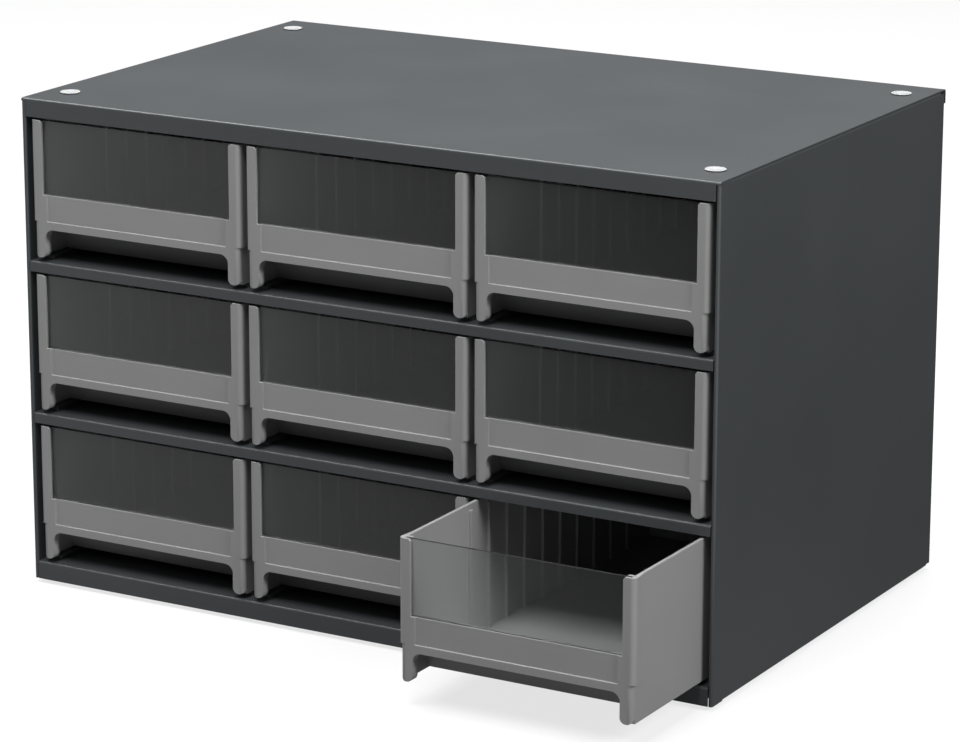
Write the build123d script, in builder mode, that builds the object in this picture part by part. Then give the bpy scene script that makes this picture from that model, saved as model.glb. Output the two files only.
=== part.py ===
from build123d import *

import os

# Nine-drawer small-parts cabinet: folded steel case, moulded drawers and clear windows.
#
# Millimetres. +X is the viewer's right, +Y runs to the back and +Z is up. The origin is the middle
# of the case's footprint, on the surface that the feet stand on. Eight drawers are closed and the
# bottom right one stands pulled out.

os.makedirs("parts", exist_ok=True)

# ---------------------------------------------------------------- driving dimensions
# case
body_width = 431.8  # outside of one side panel to the outside of the other
body_depth = 279.4  # front edges to the outside of the rear flanges
body_height = 278.6  # bottom edges to the top sheet
sheet = 0.9  # steel thickness
bend = 0.4  # inside radius of every fold
columns = 3
rows = 3

# side panels
hem_width = 2.5  # closed hem that edges the front
hem_leaf = 12.0  # how far the hem's inner leaf runs back
side_rear_flange = 12.0
side_top_flange = 26.0
side_bottom_flange = 26.0
rear_relief = 5.5  # the top and bottom flanges stop this far short of the back

# rails and floors
top_rail = 10.3  # visible height of the top panel's front rail
shelf_rail = 6.0
bottom_rail = 10.3
rail_seam = 0.25  # gap between a rail's end and the hem beside it
corner_lap = 1.6  # the top panel's front fold runs this far down over the ends of the hems
top_rear_lip = 8.0
shelf_flange = 6.0  # folded down at the shelves' sides and back

# what guides and carries the drawers
bead_height = 2.4  # runners pressed up out of each floor
bead_width = 6.0
bead_chamfer = 0.7
bead_front = 9.0  # runner's start behind the front edges
bead_rear = 10.0
prong_width = 3.0  # low lanced guides that stand in the gaps between drawers
prong_height = 5.0
prong_inset = 30.0  # from the front edges and from the back panel

# drawers
drawer_gap = 3.5  # between the posts of neighbours
side_gap = 3.2  # between the outer drawers' posts and the hems
drawer_lift = 0.3  # running clearance over the runners
drawer_headroom = 1.5  # under the rail above
drawer_stop = 0.4  # closed drawer's back to the back panel
drawer_wall = 2.0
drawer_floor = 1.8
drawer_rim = 2.0  # rim that the floor stands on
corner_round = 3.0  # front upright corners
rear_chamfer = 2.0
pull_out = 76.2  # how far the bottom right drawer stands out

# drawer front
post_proud = 1.0  # the posts stand out this far past the side walls
post_taper = 12.0  # behind the front face, where they run out into the walls
post_bottom = 20.8  # the posts' lower edge, over the drawer's underside
post_flange = 1.8  # front flange of each post
window_slot = 2.0  # slot behind it
post_rib = 1.8  # rib behind the slot
post_width = 7.1  # from the post's side to the window's edge
rib_recess = 0.8  # the rib stops this far short of the flange's edge
slot_depth = 4.0  # how far the slot runs in behind the flanges
post_corner = 1.2  # bevel on their top corner beside the window
window_sill = 35.8  # bottom edge of the window's opening
sill_slot = 2.0  # slot's depth below the sill
label_inset = 1.0
label_margin = 2.5  # from the window's edge line to the label recess
label_bottom = 20.8
grip_height = 16.2  # finger gap, up to the band's underside
leg_width = 7.2
grip_round = 5.2
leg_round = 3.3
grip_top_depth = 17.6  # where the gap's back wall meets its ceiling
grip_foot_depth = 26.5  # and where it meets the floor
pane_clearance = 0.2
pane_below_top = 0.3

# divider ribs inside the side walls
rib_thick = 2.4
rib_proud = 1.5
rib_first = 68.4  # middle of the first rib, behind the front face
rib_pitch = 19.75
rib_below_top = 3.3
rib_rear_clear = 16.0

# rear stops
lug_height = 4.0
lug_length = 8.0
lug_setback = 45.0

# feet and stacking buttons
foot_height = 2.5
foot_radius = 6.0
foot_chamfer = 0.6
stem_radius = 3.0
stem_clearance = 0.1
barb_radius = 4.2
barb_height = 1.6
barb_chamfer = 1.1
round_sides = 12  # the small round mouldings and their holes are drawn with this many sides
button_radius = 5.7
button_height = 0.8
button_undercut = 0.6
button_inset_x = 15.5
button_inset_y = 24.8

# ---------------------------------------------------------------- places worked out from them
front = -body_depth / 2
rear = body_depth / 2
side_outer = body_width / 2
side_inner = side_outer - sheet
hem_inner = side_outer - hem_width
rail_half = hem_inner - rail_seam
base = foot_height  # underside of the case
top = base + body_height
under_top = top - sheet
fold = bend + sheet / 2  # radius at the middle of a folded sheet
fold_outer = bend + sheet

back_outer = rear - sheet  # back panel lies inside the side panels' rear flanges
back_inner = back_outer - sheet

bay_height = (body_height - top_rail - bottom_rail - shelf_rail * (rows - 1)) / rows
floor_z = [base + bottom_rail + row * (bay_height + shelf_rail) for row in range(rows)]

drawer_width = (2 * (hem_inner - side_gap) - (columns - 1) * drawer_gap) / columns
drawer_pitch = drawer_width + drawer_gap
drawer_height = bay_height - bead_height - drawer_lift - drawer_headroom
drawer_length = back_inner - front - drawer_stop
column_x = [(column - (columns - 1) / 2) * drawer_pitch for column in range(columns)]
gap_x = [(gap - columns / 2) * drawer_pitch for gap in range(columns + 1)]

post_half = drawer_width / 2  # outside of the posts
wall_half = post_half - post_proud  # outside of the side walls
bin_half = wall_half - drawer_wall  # and their inside
front_thick = post_flange + window_slot + post_rib
window_half = post_half - post_width
rib_half = window_half + rib_recess
slot_half = window_half + slot_depth
label_half = window_half - label_margin
grip_half = wall_half - leg_width
floor_top = drawer_rim + drawer_floor
bin_back = drawer_length - drawer_wall
lug_front = drawer_length - lug_setback

# the finger gap's back wall leans; the bin's side of it is one wall thickness behind
grip_slope = (grip_foot_depth - grip_top_depth) / grip_height
grip_wall = drawer_wall * (1 + grip_slope**2) ** 0.5
step_top = grip_height + drawer_wall
step_back = grip_foot_depth - grip_slope * step_top + grip_wall
step_foot = grip_foot_depth - grip_slope * floor_top + grip_wall

button_x = side_outer - button_inset_x
button_y = rear - button_inset_y
corners = {
    "front_left": (-button_x, -button_y),
    "front_right": (button_x, -button_y),
    "rear_left": (-button_x, button_y),
    "rear_right": (button_x, button_y),
}

row_names = ["bottom", "middle", "top"]
column_names = ["left", "middle", "right"]


def finish(piece, name):
    """Label a finished piece and write it out."""
    piece.label = name
    export_step(piece, f"parts/{name}.step")


# ---------------------------------------------------------------- side panels
def side_panel(side):
    """A folded side: hem in front, flanges at the top, the bottom and the back. side is -1 or 1."""
    web_x = side * (side_outer - sheet / 2)
    leaf_x = side * (hem_inner + sheet / 2)
    hem_radius = (hem_width - sheet) / 2
    flange_end = rear - rear_relief
    with BuildPart() as panel:
        # the flat web, clear of the folds above and below
        with BuildSketch(Plane.XY.offset(base + fold_outer)):
            with BuildLine():
                FilletPolyline(
                    (web_x, front + hem_width / 2),
                    (web_x, rear - sheet / 2),
                    (side * (side_outer - side_rear_flange), rear - sheet / 2),
                    radius=fold,
                )
            trace(line_width=sheet)
        extrude(amount=under_top - base - 2 * fold_outer)
        # front hem, full height
        with BuildSketch(Plane.XY.offset(base)):
            with BuildLine():
                Line((web_x, front + hem_leaf), (web_x, front + hem_width / 2))
                ThreePointArc(
                    (web_x, front + hem_width / 2),
                    (web_x - side * hem_radius, front + hem_width / 2 - hem_radius),
                    (leaf_x, front + hem_width / 2),
                )
                Line((leaf_x, front + hem_width / 2), (leaf_x, front + hem_leaf))
            trace(line_width=sheet)
        extrude(amount=under_top - base)
        # notch in the hem's upper end, for the top panel's front fold
        with BuildSketch(Plane.XY.offset(top - corner_lap)):
            with Locations((side * (hem_inner + side_outer) / 2, front)):
                Rectangle(hem_width, fold_outer, align=(Align.CENTER, Align.MIN))
        extrude(amount=corner_lap - sheet, mode=Mode.SUBTRACT)
        # top and bottom flanges, folded in behind the hem
        with BuildSketch(Plane.XZ.offset(-(front + hem_leaf))):
            with BuildLine():
                FilletPolyline(
                    (side * (side_outer - side_bottom_flange), base + sheet / 2),
                    (web_x, base + sheet / 2),
                    (web_x, under_top - sheet / 2),
                    (side * (side_outer - side_top_flange), under_top - sheet / 2),
                    radius=fold,
                )
            trace(line_width=sheet)
        extrude(amount=-(flange_end - front - hem_leaf))
        # holes for the feet below and the stacking buttons above
        for hole_z in (base, under_top - sheet):
            with BuildSketch(Plane.XY.offset(hole_z)):
                with Locations(*[(side * button_x, y) for y in (-button_y, button_y)]):
                    RegularPolygon(stem_radius + stem_clearance, round_sides)
            extrude(amount=sheet, mode=Mode.SUBTRACT)
    return panel


left_side_panel = side_panel(-1)
finish(left_side_panel.part, "left_side_panel")
right_side_panel = side_panel(1)
finish(right_side_panel.part, "right_side_panel")

# ---------------------------------------------------------------- top panel
with BuildPart() as top_panel:
    # sheet over the side panels, folded down over the hems' ends and, at the back, behind the sides
    with BuildSketch(Plane.YZ):
        with BuildLine():
            FilletPolyline(
                (front + sheet / 2, top - corner_lap),
                (front + sheet / 2, top - sheet / 2),
                (rear + sheet / 2, top - sheet / 2),
                (rear + sheet / 2, top - top_rear_lip),
                radius=fold,
            )
        trace(line_width=sheet)
    extrude(amount=side_outer, both=True)
    # the front fold goes on down between the hems as the top rail
    with BuildSketch(Plane.XZ.offset(-front)):
        with Locations((0, top - corner_lap)):
            Rectangle(2 * rail_half, top_rail - corner_lap, align=(Align.CENTER, Align.MAX))
    extrude(amount=-sheet)
    with BuildSketch(Plane.XY.offset(under_top)):
        with Locations(*corners.values()):
            RegularPolygon(stem_radius + stem_clearance, round_sides)
    extrude(amount=sheet, mode=Mode.SUBTRACT)
finish(top_panel.part, "top_panel")

# ---------------------------------------------------------------- back panel
with BuildPart() as back_panel:
    with BuildSketch(Plane.XY.offset(base + sheet)):
        with Locations((0, (back_inner + back_outer) / 2)):
            Rectangle(2 * (side_inner - bend), sheet)
    extrude(amount=under_top - sheet - base - sheet)
finish(back_panel.part, "back_panel")


# ---------------------------------------------------------------- floors
def floor_panel(surface, rail, drop):
    """A folded floor: front rail, rear and side flanges, drawer runners and guide prongs."""
    pan_front = front + hem_leaf + rail_seam
    pan_back = back_inner - fold_outer
    bead_length = back_inner - bead_rear - front - bead_front
    bead_y = front + bead_front + bead_length / 2
    bead_x = [x + side * (wall_half - bead_width / 2) for x in column_x for side in (-1, 1)]
    prong_y = [front + prong_inset, back_inner - prong_inset]
    with BuildPart() as panel:
        # rail, floor and rear flange in one fold
        with BuildSketch(Plane.YZ):
            with BuildLine():
                FilletPolyline(
                    (front + sheet / 2, surface - rail),
                    (front + sheet / 2, surface - sheet / 2),
                    (back_inner - sheet / 2, surface - sheet / 2),
                    (back_inner - sheet / 2, surface - drop),
                    radius=fold,
                )
            trace(line_width=sheet)
        extrude(amount=rail_half, both=True)
        # side flanges against the side panels, behind the hems
        with BuildSketch(Plane.XZ.offset(-pan_front)):
            with BuildLine():
                FilletPolyline(
                    (-side_inner + sheet / 2, surface - drop),
                    (-side_inner + sheet / 2, surface - sheet / 2),
                    (side_inner - sheet / 2, surface - sheet / 2),
                    (side_inner - sheet / 2, surface - drop),
                    radius=fold,
                )
            trace(line_width=sheet)
        extrude(amount=-(pan_back - pan_front))
        # runners, pressed up from below
        with BuildSketch(Plane.XY.offset(surface)):
            with Locations(*[(x, bead_y) for x in bead_x]):
                Rectangle(bead_width, bead_length)
        extrude(amount=bead_height)
        chamfer(panel.edges().group_by(Axis.Z)[-1], length=bead_chamfer)
        with BuildSketch(Plane.XY.offset(surface - sheet)):
            with Locations(*[(x, bead_y) for x in bead_x]):
                Rectangle(bead_width - 2 * sheet, bead_length - 2 * sheet)
        extrude(amount=bead_height, mode=Mode.SUBTRACT)
        # guide prongs, each lanced out of the slot behind it
        with BuildSketch(Plane.XY.offset(surface - sheet)):
            with Locations(*[(x, y) for x in gap_x for y in prong_y]):
                Rectangle(prong_width, prong_height, align=(Align.CENTER, Align.MIN))
        extrude(amount=sheet, mode=Mode.SUBTRACT)
        for y in prong_y:
            with BuildSketch(Plane.XZ.offset(-y)):
                with Locations(*[(x, surface - sheet) for x in gap_x]):
                    Rectangle(prong_width, prong_height + sheet, align=(Align.CENTER, Align.MIN))
            extrude(amount=sheet)
    return panel


bottom_panel = floor_panel(floor_z[0], bottom_rail, bottom_rail - fold_outer)
finish(bottom_panel.part, "bottom_panel")
lower_shelf = floor_panel(floor_z[1], shelf_rail, shelf_flange)
finish(lower_shelf.part, "lower_shelf")
upper_shelf = floor_panel(floor_z[2], shelf_rail, shelf_flange)
finish(upper_shelf.part, "upper_shelf")

# ---------------------------------------------------------------- feet and stacking buttons
with BuildPart() as foot_form:
    with BuildSketch(Plane.XY):
        RegularPolygon(foot_radius, round_sides)
    extrude(amount=foot_height)
    chamfer(foot_form.faces().sort_by(Axis.Z)[0].edges(), length=foot_chamfer)
    # stem through the panel and barb above it
    with BuildSketch(Plane.XY.offset(foot_height)):
        RegularPolygon(stem_radius, round_sides)
    extrude(amount=sheet)
    with BuildSketch(Plane.XY.offset(foot_height + sheet)):
        RegularPolygon(barb_radius, round_sides)
    extrude(amount=barb_height)
    chamfer(foot_form.faces().sort_by(Axis.Z)[-1].edges(), length=barb_chamfer)

with BuildPart() as button_form:
    with BuildSketch(Plane.XY):
        RegularPolygon(button_radius, round_sides)
    extrude(amount=button_height)
    chamfer(button_form.faces().sort_by(Axis.Z)[0].edges(), length=button_undercut)
    # stem through both sheets and barb below them
    with BuildSketch(Plane.XY):
        RegularPolygon(stem_radius, round_sides)
    extrude(amount=-2 * sheet)
    with BuildSketch(Plane.XY.offset(-2 * sheet)):
        RegularPolygon(barb_radius, round_sides)
    extrude(amount=-barb_height)
    chamfer(button_form.faces().sort_by(Axis.Z)[0].edges(), length=barb_chamfer)

for corner, (x, y) in corners.items():
    with BuildPart() as foot:
        with Locations((x, y, 0)):
            add(foot_form.part)
    finish(foot.part, f"foot_{corner}")
    with BuildPart() as button:
        with Locations((x, y, top)):
            add(button_form.part)
    finish(button.part, f"stacking_button_{corner}")

# ---------------------------------------------------------------- the moulded drawer
# Its own frame: y is 0 at the front face and runs to the back, z is 0 under the rim.
with BuildPart() as drawer_form:
    with BuildSketch(Plane.XY) as outline:
        Rectangle(2 * wall_half, drawer_length, align=(Align.CENTER, Align.MIN))
        fillet(outline.vertices().group_by(Axis.Y)[0], radius=corner_round)
        chamfer(outline.vertices().group_by(Axis.Y)[-1], length=rear_chamfer)
    extrude(amount=drawer_height)
    # posts, proud of the side walls in front and running out into them
    with BuildSketch(Plane.XY.offset(post_bottom)) as posts:
        with BuildLine():
            Polyline(
                (-post_half, 0),
                (post_half, 0),
                (post_half, corner_round + sheet),
                (wall_half, post_taper),
                (-wall_half, post_taper),
                (-post_half, corner_round + sheet),
                close=True,
            )
        make_face()
        fillet(posts.vertices().group_by(Axis.Y)[0], radius=corner_round)
    extrude(amount=drawer_height - post_bottom)
    # bin, with its floor raised over the finger gap
    with BuildSketch(Plane.YZ):
        with BuildLine():
            Polyline(
                (front_thick, drawer_height),
                (front_thick, step_top),
                (step_back, step_top),
                (step_foot, floor_top),
                (bin_back, floor_top),
                (bin_back, drawer_height),
                close=True,
            )
        make_face()
    extrude(amount=bin_half, both=True, mode=Mode.SUBTRACT)
    # finger gap between the legs, widening behind them to the walls
    with BuildSketch(Plane.XZ) as grip:
        Rectangle(2 * grip_half, grip_height, align=(Align.CENTER, Align.MIN))
        fillet(grip.vertices().group_by(Axis.Y)[-1], radius=grip_round)
    extrude(amount=-front_thick, mode=Mode.SUBTRACT)
    with BuildSketch(Plane.YZ):
        with BuildLine():
            Polyline(
                (front_thick, 0),
                (front_thick, grip_height),
                (grip_top_depth, grip_height),
                (grip_foot_depth, 0),
                close=True,
            )
        make_face()
    extrude(amount=bin_half, both=True, mode=Mode.SUBTRACT)
    # legs rounded under: inside right through, outside at the corner only
    fillet(
        drawer_form.edges()
        .filter_by(Axis.Y)
        .group_by(Axis.Z)[0]
        .filter_by(lambda edge: edge.length < front_thick + 0.01),
        radius=leg_round,
    )
    with BuildSketch(Plane.XZ) as toe:
        for side in (-1, 1):
            with Locations((side * (wall_half - leg_round), leg_round)):
                Rectangle(
                    2 * leg_round,
                    2 * leg_round,
                    align=(Align.MIN if side > 0 else Align.MAX, Align.MAX),
                )
                Circle(leg_round, mode=Mode.SUBTRACT)
    extrude(amount=-corner_round, mode=Mode.SUBTRACT)
    # hollow under the floor
    with BuildSketch(Plane.XY):
        with Locations((0, grip_foot_depth + grip_wall)):
            Rectangle(
                2 * bin_half,
                bin_back - grip_foot_depth - grip_wall,
                align=(Align.CENTER, Align.MIN),
            )
    extrude(amount=drawer_rim, mode=Mode.SUBTRACT)
    # window's opening in the front flange and, a little wider, in the rib behind the slot
    with BuildSketch(Plane.XZ):
        with Locations((0, window_sill)):
            Rectangle(
                2 * window_half, drawer_height - window_sill, align=(Align.CENTER, Align.MIN)
            )
    extrude(amount=-front_thick, mode=Mode.SUBTRACT)
    with BuildSketch(Plane.XZ.offset(-(post_flange + window_slot))):
        with Locations((0, window_sill)):
            Rectangle(2 * rib_half, drawer_height - window_sill, align=(Align.CENTER, Align.MIN))
    extrude(amount=-post_rib, mode=Mode.SUBTRACT)
    # slot that the window drops into
    with BuildSketch(Plane.XZ.offset(-post_flange)):
        with Locations((0, window_sill - sill_slot)):
            Rectangle(
                2 * slot_half,
                drawer_height - window_sill + sill_slot,
                align=(Align.CENTER, Align.MIN),
            )
    extrude(amount=-window_slot, mode=Mode.SUBTRACT)
    # label recess over the ledge
    with BuildSketch(Plane.XZ):
        with Locations((0, label_bottom)):
            Rectangle(2 * label_half, window_sill - label_bottom, align=(Align.CENTER, Align.MIN))
    extrude(amount=-label_inset, mode=Mode.SUBTRACT)
    # top corners of the posts' flanges beside the window
    chamfer(
        drawer_form.edges()
        .filter_by(Axis.Y)
        .group_by(Axis.Z)[-1]
        .filter_by(lambda edge: abs(abs(edge.center().X) - window_half) < 0.01),
        length=post_corner,
    )
    # ribs that hold the dividers, sunk a little into the walls
    rib_count = int((bin_back - rib_rear_clear - rib_first) / rib_pitch) + 1
    rib_x = bin_half - rib_proud / 2 + drawer_wall / 4
    rib_y = [rib_first + rib_pitch * rib for rib in range(rib_count)]
    with BuildSketch(Plane.XY.offset(floor_top)):
        with Locations(*[(side * rib_x, y) for side in (-1, 1) for y in rib_y]):
            Rectangle(rib_proud + drawer_wall / 2, rib_thick)
    extrude(amount=drawer_height - rib_below_top - floor_top)
    # stops on the side walls: upright in front, ramped behind
    for wall_x in (-wall_half, bin_half):
        with BuildSketch(Plane.YZ.offset(wall_x)):
            with BuildLine():
                Polyline(
                    (lug_front, drawer_height),
                    (lug_front, drawer_height + lug_height),
                    (lug_front + drawer_wall, drawer_height + lug_height),
                    (lug_front + lug_length, drawer_height),
                    close=True,
                )
            make_face()
        extrude(amount=drawer_wall)

# clear window, dropped into the slot and standing on its bottom
with BuildPart() as window_form:
    with BuildSketch(Plane.XZ.offset(-(post_flange + pane_clearance))):
        with Locations((0, window_sill - sill_slot)):
            Rectangle(
                2 * (slot_half - pane_clearance),
                drawer_height - pane_below_top - window_sill + sill_slot,
                align=(Align.CENTER, Align.MIN),
            )
    extrude(amount=-(window_slot - 2 * pane_clearance))

for row, row_name in enumerate(row_names):
    for column, column_name in enumerate(column_names):
        pulled = row_name == "bottom" and column_name == "right"
        place = (
            column_x[column],
            front - (pull_out if pulled else 0),
            floor_z[row] + bead_height + drawer_lift,
        )
        with BuildPart() as drawer:
            with Locations(place):
                add(drawer_form.part)
        finish(drawer.part, f"drawer_{row_name}_{column_name}")
        with BuildPart() as window:
            with Locations(place):
                add(window_form.part)
        finish(window.part, f"window_{row_name}_{column_name}")
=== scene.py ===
# %% [markdown]
# # A nine-drawer small-parts cabinet
# The real object is a case of folded, powder-coated sheet steel that holds nine moulded drawers.
# Each drawer has a clear pane in its front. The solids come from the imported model, which this file
# loads as its frame. What follows gives them soft edges, finishes, light and a camera.

# %% Load the frame
import math

import bmesh
import bpy
from mathutils import Matrix, Vector


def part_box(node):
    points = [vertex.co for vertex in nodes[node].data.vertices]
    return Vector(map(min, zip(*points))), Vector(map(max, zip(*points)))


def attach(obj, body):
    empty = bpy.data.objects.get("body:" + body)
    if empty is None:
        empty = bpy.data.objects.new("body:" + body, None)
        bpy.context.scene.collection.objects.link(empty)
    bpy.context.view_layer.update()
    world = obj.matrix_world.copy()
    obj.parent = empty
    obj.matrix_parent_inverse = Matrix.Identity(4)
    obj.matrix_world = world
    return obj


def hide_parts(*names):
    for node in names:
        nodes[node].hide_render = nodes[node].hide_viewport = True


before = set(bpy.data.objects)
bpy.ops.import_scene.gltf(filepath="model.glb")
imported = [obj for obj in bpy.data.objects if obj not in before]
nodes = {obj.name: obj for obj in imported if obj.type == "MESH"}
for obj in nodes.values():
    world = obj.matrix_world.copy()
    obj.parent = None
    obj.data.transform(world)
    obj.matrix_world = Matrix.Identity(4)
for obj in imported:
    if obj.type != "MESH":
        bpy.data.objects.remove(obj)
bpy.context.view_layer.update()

mm = 0.001

# %% [markdown]
# ## The camera
# A product picture is taken from a few steps away with a long lens, so that upright edges stay
# nearly upright. The place, the turn and the lens were found from the case's own corners: they are
# the ones at which a case of the real width and depth falls on its outline in the picture.

# %% Set the camera
camera_place = Vector((1079.0, -1879.8, 709.3)) * mm
azimuth, elevation, roll = (math.radians(angle) for angle in (29.936, 15.181, 0.072))
picture_width = 960
lens_in_pixels = 3965.95
sensor = 36.0

back = Vector((
    math.sin(azimuth) * math.cos(elevation),
    -math.cos(azimuth) * math.cos(elevation),
    math.sin(elevation),
))
right = Vector((0, 0, 1)).cross(back).normalized()
up = back.cross(right)
right, up = (
    right * math.cos(roll) + up * math.sin(roll),
    up * math.cos(roll) - right * math.sin(roll),
)
camera_data = bpy.data.cameras.new("camera")
camera_data.sensor_width = sensor
camera_data.sensor_fit = "HORIZONTAL"
camera_data.lens = lens_in_pixels * sensor / picture_width
camera = bpy.data.objects.new("camera", camera_data)
turn = Matrix((right, up, back)).transposed()
camera.matrix_world = Matrix.Translation(camera_place) @ turn.to_4x4()
bpy.context.scene.collection.objects.link(camera)
bpy.context.scene.camera = camera
print("lens", round(camera_data.lens, 1), "mm")

# %% [markdown]
# ## Helpers for materials
# Colours are written as the hex values that a paint program shows, and Blender's shaders want
# linear light, so one function turns the first into the second. Another adds a node, with its
# settings and its links in one call, which keeps each finish short enough to read as a recipe. The
# rest lay a noise pattern on the piece and turn it into a number or a colour between two others.


# %% Helpers for materials
noise_low, noise_high = 0.3, 0.7  # a noise pattern hardly leaves these limits


def linear(hex_colour):
    """An sRGB hex value as the linear colour with alpha that a shader socket takes."""
    channels = [int(hex_colour[i:i + 2], 16) / 255 for i in (1, 3, 5)]
    return [c / 12.92 if c <= 0.04045 else ((c + 0.055) / 1.055) ** 2.4 for c in channels] + [1.0]


def add_node(tree, kind, settings=None, **links):
    """Adds a node. settings holds its properties and plain values, links what feeds its sockets."""
    made = tree.nodes.new(kind)
    for name, value in (settings or {}).items():
        if hasattr(made, name):
            setattr(made, name, value)
        else:
            made.inputs[name].default_value = value
    for name, source in links.items():
        socket = made.inputs[int(name[1:])] if name[1:].isdigit() else made.inputs[name]
        tree.links.new(source, socket)
    return made


def new_material(name):
    """An empty node material, its output, and the piece's own coordinates to lay patterns on."""
    made = bpy.data.materials.new(name)
    made.use_nodes = True
    made.node_tree.nodes.clear()
    tree = made.node_tree
    output = add_node(tree, "ShaderNodeOutputMaterial")
    place = add_node(tree, "ShaderNodeTexCoord").outputs["Object"]
    return made, tree, output, place


def noise(tree, place, size, detail=2.0):
    """A noise pattern whose lumps are about size metres across."""
    return add_node(
        tree, "ShaderNodeTexNoise", {"Scale": 1 / size, "Detail": detail}, Vector=place
    ).outputs["Fac"]


def between(tree, amount, low, high):
    """A number that runs from low to high as a noise pattern runs between its own limits."""
    return add_node(
        tree,
        "ShaderNodeMapRange",
        {"From Min": noise_low, "From Max": noise_high, "To Min": low, "To Max": high},
        Value=amount,
    ).outputs["Result"]


def shade(tree, amount, first, second):
    """A colour between two hex values, as a noise pattern runs between its limits."""
    ramp = add_node(tree, "ShaderNodeValToRGB", Fac=amount)
    stops = ((noise_low, first), (noise_high, second))
    for element, (position, colour) in zip(ramp.color_ramp.elements, stops):
        element.position = position
        element.color = linear(colour)
    return ramp.outputs["Color"]


# %% [markdown]
# ## Powder-coated steel
# The case is sheet steel, sprayed with polyester powder and baked. The powder melts into a skin
# about 0.08 mm thick, with a faint orange peel 2 to 4 mm across and a finer grit in it. To the eye
# that is a dark, slightly blue grey with a soft, wide sheen, and small uneven patches in the sheen.


# %% Powder coat
def powder_coat():
    """Satin dark grey polyester powder over steel."""
    made, tree, output, place = new_material("powder-coated steel")
    peel = noise(tree, place, 3.0 * mm)
    grit = noise(tree, place, 0.7 * mm)  # real grit is nearer 0.2 mm, too fine to show
    cloud = noise(tree, place, 90 * mm, detail=3.0)
    rough_peel = add_node(
        tree, "ShaderNodeBump", {"Strength": 0.10, "Distance": 0.05 * mm}, Height=peel
    )
    surface = add_node(
        tree,
        "ShaderNodeBump",
        {"Strength": 0.12, "Distance": 0.02 * mm},
        Height=grit,
        Normal=rough_peel.outputs["Normal"],
    )
    paint = add_node(
        tree,
        "ShaderNodeBsdfPrincipled",
        {"IOR": 1.5},
        Normal=surface.outputs["Normal"],
        Roughness=between(tree, cloud, 0.34, 0.40),
    )
    tree.links.new(shade(tree, cloud, "#3c3f41", "#3f4244"), paint.inputs["Base Color"])
    tree.links.new(paint.outputs["BSDF"], output.inputs["Surface"])
    return made


steel = powder_coat()

# %% [markdown]
# ## Moulded polystyrene
# The drawers are injection-moulded in a mid grey polystyrene. The tool's faces are spark-eroded, so
# the plastic has a fine, even grain with a low sheen, and only its rubbed edges look brighter. The
# pigment is mixed in, with hardly any variation: one soft cloud of a few centimetres is enough.


# %% Moulded polystyrene
def moulded_plastic():
    """Mid grey polystyrene from a spark-eroded tool."""
    made, tree, output, place = new_material("moulded polystyrene")
    grain = noise(tree, place, 0.6 * mm)  # drawn twice as coarse as the tool's grain, to show
    flow = noise(tree, place, 45 * mm)
    surface = add_node(
        tree, "ShaderNodeBump", {"Strength": 0.10, "Distance": 0.03 * mm}, Height=grain
    )
    plastic = add_node(
        tree,
        "ShaderNodeBsdfPrincipled",
        {"IOR": 1.59, "Specular IOR Level": 0.4},
        Normal=surface.outputs["Normal"],
        Roughness=between(tree, flow, 0.40, 0.46),
    )
    tree.links.new(shade(tree, flow, "#8b8b8b", "#8e8e8e"), plastic.inputs["Base Color"])
    tree.links.new(plastic.outputs["BSDF"], output.inputs["Surface"])
    return made


grey_plastic = moulded_plastic()

# %% [markdown]
# ## Clear polystyrene sheet
# The windows are cut from clear sheet 1.6 mm thick. Both its faces are rolled smooth, so it
# reflects a pale room as a thin even veil and shows what is behind it nearly undimmed. It is made
# as a real thickness of clear material with two faces, and a hundredth part of it is matt, which
# stands for the fine scratches that a drawer's window soon gets.


# %% Clear pane
def clear_sheet():
    """Clear polystyrene sheet, with the faint ripple of its rolling."""
    made, tree, output, place = new_material("clear polystyrene sheet")
    ripple = noise(tree, place, 30 * mm, detail=1.0)
    surface = add_node(
        tree, "ShaderNodeBump", {"Strength": 0.05, "Distance": 0.1 * mm}, Height=ripple
    )
    pane = add_node(
        tree,
        "ShaderNodeBsdfPrincipled",
        {"IOR": 1.5, "Transmission Weight": 0.99, "Base Color": linear("#eceeee")},
        Normal=surface.outputs["Normal"],
        Roughness=between(tree, ripple, 0.04, 0.07),
    )
    tree.links.new(pane.outputs["BSDF"], output.inputs["Surface"])
    return made


clear_pane = clear_sheet()

# %% [markdown]
# ## Nylon and vinyl
# The round buttons on the top are pale grey nylon, which lets a little light in. The feet below are
# soft black vinyl, matt and slightly dusty-looking.


# %% Nylon and vinyl
def moulded_nylon():
    """Pale grey nylon, slightly see-through at its surface."""
    made, tree, output, place = new_material("moulded nylon")
    speck = noise(tree, place, 1.5 * mm)
    nylon = add_node(
        tree,
        "ShaderNodeBsdfPrincipled",
        {"IOR": 1.53, "Subsurface Weight": 0.15, "Subsurface Scale": 1.0 * mm},
        Roughness=between(tree, speck, 0.35, 0.45),
    )
    tree.links.new(shade(tree, speck, "#a4a6a7", "#a9abac"), nylon.inputs["Base Color"])
    tree.links.new(nylon.outputs["BSDF"], output.inputs["Surface"])
    return made


def soft_vinyl():
    """Matt black vinyl."""
    made, tree, output, place = new_material("soft vinyl")
    speck = noise(tree, place, 0.8 * mm)
    surface = add_node(
        tree, "ShaderNodeBump", {"Strength": 0.2, "Distance": 0.03 * mm}, Height=speck
    )
    vinyl = add_node(
        tree,
        "ShaderNodeBsdfPrincipled",
        {"IOR": 1.53},
        Normal=surface.outputs["Normal"],
        Roughness=between(tree, speck, 0.62, 0.72),
    )
    tree.links.new(shade(tree, speck, "#1b1b1c", "#222223"), vinyl.inputs["Base Color"])
    tree.links.new(vinyl.outputs["BSDF"], output.inputs["Surface"])
    return made


nylon = moulded_nylon()
vinyl = soft_vinyl()

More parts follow.
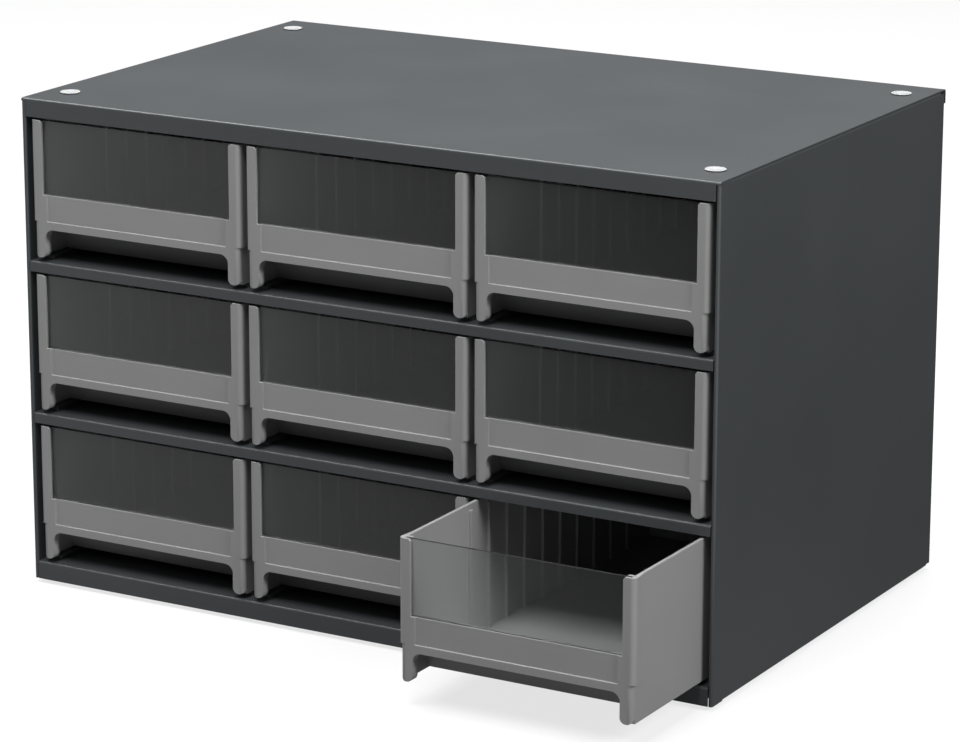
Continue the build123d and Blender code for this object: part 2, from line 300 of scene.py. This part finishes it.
# %% [markdown]
# ## The case keeps its own solids
# The folded panels already have their hems, folds and flanges, so they only need the powder coat.
# Their meshes stay untouched.

# %% Paint the case
panels = [
    "left_side_panel", "right_side_panel", "top_panel", "bottom_panel",
    "back_panel", "upper_shelf", "lower_shelf",
]


def finish_with(piece, material):
    """Puts one material on the whole piece."""
    piece.data.materials.clear()
    piece.data.materials.append(material)


for name in panels:
    finish_with(nodes[name], steel)

# %% [markdown]
# ## The drawers
# A mould leaves no knife edges: every rim and rib of the real drawer is rounded by a few tenths of
# a millimetre, and it is those edges that draw the bright lines along the drawer's rims. So each
# drawer is a copy of its solid, with its flat faces joined up and its sharp edges bevelled. The
# bevel goes by a weight on each edge, and the toes of the legs get none, being round already. The
# big flats then set the shading, so that light doesn't creep over them from the round edges.


# %% Round the drawers' edges
same_point = 0.002 * mm
same_plane = math.radians(0.5)
sharp_turn = math.radians(40)


def sharp_edges(shape, left_alone):
    """The edges with a sharp turn, without those that touch the place left alone."""
    return [
        edge
        for edge in shape.edges
        if edge.is_manifold
        and edge.calc_face_angle() > sharp_turn
        and not any(left_alone(vert.co) for vert in edge.verts)
    ]


def softened(node, name, radius, left_alone):
    """A finished copy of a CAD node, its edges rounded by radius, kept inside the node's box."""
    shape = bmesh.new()
    shape.from_mesh(nodes[node].data)
    bmesh.ops.remove_doubles(shape, verts=shape.verts, dist=same_point)
    bmesh.ops.dissolve_limit(
        shape, angle_limit=same_plane, verts=shape.verts, edges=shape.edges
    )
    weight = shape.edges.layers.float.new("bevel_weight_edge")
    for edge in sharp_edges(shape, left_alone):
        edge[weight] = 1.0
    rough = bpy.data.meshes.new(name + " rough")
    shape.to_mesh(rough)
    shape.free()
    rough.shade_smooth()
    piece = bpy.data.objects.new(name, rough)
    bpy.context.scene.collection.objects.link(piece)
    bevel = piece.modifiers.new("edges", "BEVEL")
    bevel.width = radius
    bevel.segments = 2
    bevel.limit_method = "WEIGHT"
    bevel.use_clamp_overlap = False
    flats = piece.modifiers.new("flats stay flat", "WEIGHTED_NORMAL")
    flats.weight = 100
    bpy.context.view_layer.update()
    depsgraph = bpy.context.evaluated_depsgraph_get()
    finished = bpy.data.meshes.new_from_object(piece.evaluated_get(depsgraph))
    piece.modifiers.clear()
    piece.data = finished
    finished.name = name
    bpy.data.meshes.remove(rough)
    low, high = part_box(node)
    for vert in finished.vertices:
        vert.co = [min(max(vert.co[i], low[i]), high[i]) for i in range(3)]
    return piece


rows = ["bottom", "middle", "top"]
columns = ["left", "middle", "right"]
edge_radius = 0.25 * mm
pattern_row, pattern_column = "top", "left"
pattern_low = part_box(f"drawer_{pattern_row}_{pattern_column}")[0]
toe_height, toe_depth = 3.5 * mm, 3.2 * mm


def in_toe(point):
    """Whether a point lies in the rounded lower end of one of the drawer's legs."""
    above, behind = point.z - pattern_low.z, point.y - pattern_low.y
    return above < toe_height and behind < toe_depth


pattern = softened(
    f"drawer_{pattern_row}_{pattern_column}", "moulding_pattern", edge_radius, in_toe
)
for row in rows:
    for column in columns:
        node = f"drawer_{row}_{column}"
        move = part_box(node)[0] - pattern_low
        mesh = pattern.data.copy()
        mesh.transform(Matrix.Translation(move))
        moulding = bpy.data.objects.new(f"moulding_{row}_{column}", mesh)
        bpy.context.scene.collection.objects.link(moulding)
        finish_with(moulding, grey_plastic)
        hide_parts(node)
        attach(moulding, f"drawer_body_{row}_{column}")
        finish_with(nodes[f"window_{row}_{column}"], clear_pane)
print("one moulding has", len(pattern.data.polygons), "faces")
bpy.data.objects.remove(pattern)

# %% [markdown]
# ## Buttons and feet, one at each corner
# The top has four nylon buttons and the underside four vinyl feet, all at the same corners, so that
# cases stack. Each is a small turned shape: half of its outline is spun round its axis, and a
# Geometry Nodes tree sets one at each corner of a rectangle.


# %% A tree that sets a piece at four corners
rounded_turn = math.radians(35)  # edges that turn less are shaded as one round surface


def corner_tree():
    """Geometry Nodes: copies of the piece at the corners of a rectangle, as real geometry."""
    tree = bpy.data.node_groups.new("one at each corner", "GeometryNodeTree")
    tree.interface.new_socket("Piece", in_out="INPUT", socket_type="NodeSocketGeometry")
    for name in ("Across", "Along"):
        tree.interface.new_socket(name, in_out="INPUT", socket_type="NodeSocketFloat")
    tree.interface.new_socket("Finish", in_out="INPUT", socket_type="NodeSocketMaterial")
    tree.interface.new_socket("Pieces", in_out="OUTPUT", socket_type="NodeSocketGeometry")
    given = add_node(tree, "NodeGroupInput").outputs
    corners = add_node(
        tree,
        "GeometryNodeMeshGrid",
        {"Vertices X": 2, "Vertices Y": 2},
        **{"Size X": given["Across"], "Size Y": given["Along"]},
    )
    placed = add_node(
        tree,
        "GeometryNodeInstanceOnPoints",
        Points=corners.outputs["Mesh"],
        Instance=given["Piece"],
    )
    real = add_node(tree, "GeometryNodeRealizeInstances", Geometry=placed.outputs["Instances"])
    finished = add_node(
        tree,
        "GeometryNodeSetMaterial",
        Geometry=real.outputs["Geometry"],
        Material=given["Finish"],
    )
    result = add_node(tree, "NodeGroupOutput")
    tree.links.new(finished.outputs["Geometry"], result.inputs["Pieces"])
    return tree


def turned(outline, name, steps=40):
    """A closed shape from half its outline, a list of (radius, height) in mm, spun round Z."""
    shape = bmesh.new()
    points = [shape.verts.new((radius * mm, 0, height * mm)) for radius, height in outline]
    edges = [shape.edges.new(pair) for pair in zip(points, points[1:])]
    bmesh.ops.spin(
        shape,
        geom=points + edges,
        cent=(0, 0, 0),
        axis=(0, 0, 1),
        angle=math.tau,
        steps=steps,
        use_merge=True,
    )
    bmesh.ops.remove_doubles(shape, verts=shape.verts, dist=0.001 * mm)
    bmesh.ops.recalc_face_normals(shape, faces=shape.faces)
    mesh = bpy.data.meshes.new(name)
    shape.to_mesh(mesh)
    shape.free()
    mesh.shade_smooth()
    mesh.set_sharp_from_angle(angle=rounded_turn)
    return mesh


def at_corners(mesh, name, nodes_replaced, material):
    """Sets the mesh at the four corners that the replaced nodes stand on."""
    piece = bpy.data.objects.new(name, mesh)
    bpy.context.scene.collection.objects.link(piece)
    boxes = [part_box(node) for node in nodes_replaced]
    middles = [(low + high) / 2 for low, high in boxes]
    tree = corner_tree()
    modifier = piece.modifiers.new("corners", "NODES")
    modifier.node_group = tree
    sizes = {
        "Across": max(m.x for m in middles) - min(m.x for m in middles),
        "Along": max(m.y for m in middles) - min(m.y for m in middles),
        "Finish": material,
    }
    for socket in tree.interface.items_tree:
        if socket.in_out == "INPUT" and socket.name in sizes:
            modifier[socket.identifier] = sizes[socket.name]
    bpy.context.view_layer.update()
    depsgraph = bpy.context.evaluated_depsgraph_get()
    piece.data = bpy.data.meshes.new_from_object(piece.evaluated_get(depsgraph))
    piece.modifiers.clear()
    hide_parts(*nodes_replaced)
    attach(piece, "cabinet")
    print(name, "has", len(piece.data.polygons), "faces")
    return piece


# %% Buttons and feet
corners = ["front_left", "front_right", "rear_left", "rear_right"]
case_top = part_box("top_panel")[1].z / mm
sheet = 0.9  # thickness of the steel that the buttons and feet are pushed through
button_outline = [
    (0.0, 0.5), (4.2, 0.55), (4.9, 0.8), (5.35, 0.8), (5.6, 0.72), (5.68, 0.55), (5.5, 0.35),
    (4.8, 0.0), (3.0, 0.0), (3.0, -2 * sheet), (4.1, -2 * sheet), (3.0, -2 * sheet - 1.6),
    (0.0, -2 * sheet - 1.6),
]
foot_outline = [
    (0.0, 0.3), (3.4, 0.3), (4.2, 0.0), (5.2, 0.0), (5.75, 0.2), (5.97, 0.7), (5.97, 2.1),
    (5.8, 2.5), (3.0, 2.5), (3.0, 2.5 + sheet), (4.1, 2.5 + sheet), (3.0, 2.5 + sheet + 1.6),
    (0.0, 2.5 + sheet + 1.6),
]
buttons = at_corners(
    turned([(radius, case_top + height) for radius, height in button_outline], "button"),
    "stacking_buttons",
    [f"stacking_button_{corner}" for corner in corners],
    nylon,
)
feet = at_corners(
    turned(foot_outline, "foot"), "feet", [f"foot_{corner}" for corner in corners], vinyl
)

# %% [markdown]
# ## Floor, light and background
# The background is plain white, with the light high above and in front of the case. The top is the
# brightest side, the front and the right are much darker, and the finger gaps are almost black, so
# hardly any light comes up from below. So the floor shows the camera a pale grey with the case's
# soft shadow, most of it as plain white, but it throws little light back. To reflections only, the
# floor glows in a painted pattern, a painted reflection that the panes and the paint mirror: bright
# at the front left, dim at the front, bright again at the front right, where it paints highlight
# lines down the posts' corners, and nearly dark behind.


# %% The floor
plain_white_part = 0.75
# the direction along which the floor's painted reflection runs, from bright at the left to the
# painted highlight at the right
front_right_way = (0.87, -0.5, 0)


def ray_switches(tree):
    """1 for rays that have left a matt surface, and 1 for rays that have left a shiny one."""
    path = add_node(tree, "ShaderNodeLightPath").outputs
    bounced = add_node(
        tree, "ShaderNodeMath", {"operation": "GREATER_THAN"}, _0=path["Diffuse Depth"]
    )
    return bounced.outputs[0], path["Is Glossy Ray"]


def pale_floor():
    """Pale matt floor that keeps the shadow and gives back little light, and to reflections only
    glows in a painted pattern: a painted reflection with painted highlights.
    """
    made, tree, output, place = new_material("pale floor")
    mottle = noise(tree, place, 0.4)
    bounced, shiny = ray_switches(tree)
    matt = add_node(tree, "ShaderNodeBsdfDiffuse", Color=shade(tree, mottle, "#e4e4e4", "#e8e8e8"))
    white = add_node(tree, "ShaderNodeEmission", {"Color": linear("#ffffff"), "Strength": 1.0})
    shown = add_node(
        tree,
        "ShaderNodeMixShader",
        {"Fac": plain_white_part},
        _1=matt.outputs[0],
        _2=white.outputs[0],
    )
    dim = add_node(tree, "ShaderNodeBsdfDiffuse", {"Color": linear("#5a5a5a")})
    lit = add_node(tree, "ShaderNodeMixShader", _0=bounced, _1=shown.outputs[0], _2=dim.outputs[0])
    towards_right = add_node(
        tree, "ShaderNodeVectorMath", {"operation": "DOT_PRODUCT"}, _0=place
    )
    towards_right.inputs[1].default_value = front_right_way
    # painted reflection: glow that only reflections see, brightest towards the front left
    painted_left_reflection = add_node(
        tree,
        "ShaderNodeMapRange",
        {"From Min": -0.5, "From Max": 0.33, "To Min": 0.75, "To Max": 0.08},
        Value=towards_right.outputs["Value"],
    )
    # painted highlight: a strip of glow at the front right that paints light lines down the posts'
    # corners
    painted_corner_highlight = add_node(
        tree,
        "ShaderNodeMapRange",
        {"From Min": 0.4, "From Max": 0.7, "To Min": 0.0, "To Max": 1.5},
        Value=towards_right.outputs["Value"],
    )
    painted_reflection_glows = add_node(
        tree,
        "ShaderNodeMath",
        {"operation": "ADD"},
        _0=painted_left_reflection.outputs["Result"],
        _1=painted_corner_highlight.outputs["Result"],
    )
    # the painted reflection fades out towards the back of the floor
    in_front = add_node(
        tree,
        "ShaderNodeMapRange",
        {"From Min": -0.15, "From Max": 0.2, "To Min": 1.0, "To Max": 0.1},
        Value=add_node(tree, "ShaderNodeSeparateXYZ", Vector=place).outputs["Y"],
    )
    glow = add_node(
        tree,
        "ShaderNodeMath",
        {"operation": "MULTIPLY"},
        _0=painted_reflection_glows.outputs[0],
        _1=in_front.outputs["Result"],
    )
    # the painted reflection, as emission that only reflected rays see
    studio = add_node(
        tree, "ShaderNodeEmission", {"Color": linear("#ffffff")}, Strength=glow.outputs[0]
    )
    both = add_node(
        tree, "ShaderNodeMixShader", _0=shiny, _1=lit.outputs[0], _2=studio.outputs[0]
    )
    tree.links.new(both.outputs[0], output.inputs["Surface"])
    return made


floor_half = 6.0
floor_mesh = bpy.data.meshes.new("floor")
floor_mesh.from_pydata(
    [(x * floor_half, y * floor_half, 0) for x, y in ((-1, -1), (1, -1), (1, 1), (-1, 1))],
    [],
    [(0, 1, 2, 3)],
)
floor = bpy.data.objects.new("floor", floor_mesh)
bpy.context.scene.collection.objects.link(floor)
finish_with(floor, pale_floor())

# %% [markdown]
# ## Lamps and room
# Four softboxes: one low on the right gives that side its tone, one high in front does the same for
# the front, one high on the left lights the top most on its left, and one high behind keeps the
# back from going black. Each is given by where it hangs, as a turn from the front and a height
# angle, and by how bright a white card facing it would be, so they can be balanced without
# thinking in watts.


# %% The lamps and the room
middle = Vector((0, 0, 0.14))
lamp_distance = 2.6


def softbox(name, turn, height, brightness, size):
    """A square lamp, turn degrees from the front towards the right and height degrees up."""
    turn, height = math.radians(turn), math.radians(height)
    towards = Vector((
        math.sin(turn) * math.cos(height), -math.cos(turn) * math.cos(height), math.sin(height)
    ))
    lamp = bpy.data.lights.new(name, "AREA")
    lamp.shape = "SQUARE"
    lamp.size = size
    lamp.energy = brightness * (math.pi * lamp_distance) ** 2
    made = bpy.data.objects.new(name, lamp)
    made.matrix_world = (
        Matrix.Translation(middle + towards * lamp_distance)
        @ towards.to_track_quat("Z", "Y").to_matrix().to_4x4()
    )
    bpy.context.scene.collection.objects.link(made)


softbox("right softbox", 80, 35, 0.75, 1.0)
softbox("front softbox", 5, 60, 0.88, 1.0)
softbox("left overhead softbox", -90, 60, 0.85, 1.2)
softbox("back softbox", 180, 60, 0.5, 1.0)

world = bpy.data.worlds.new("studio")
world.use_nodes = True
world_tree = world.node_tree
world_tree.nodes.clear()
bounced, shiny = ray_switches(world_tree)
fill = add_node(
    world_tree, "ShaderNodeMapRange", {"To Min": 1.0, "To Max": 0.08}, Value=bounced
)
strength = add_node(
    world_tree, "ShaderNodeMapRange", {"To Max": 0.2}, Value=shiny,
    **{"To Min": fill.outputs["Result"]},
)
room = add_node(
    world_tree, "ShaderNodeBackground", {"Color": linear("#ffffff")},
    Strength=strength.outputs["Result"],
)
add_node(world_tree, "ShaderNodeOutputWorld", Surface=room.outputs[0])
bpy.context.scene.world = world
bpy.context.scene.view_settings.view_transform = "Standard"
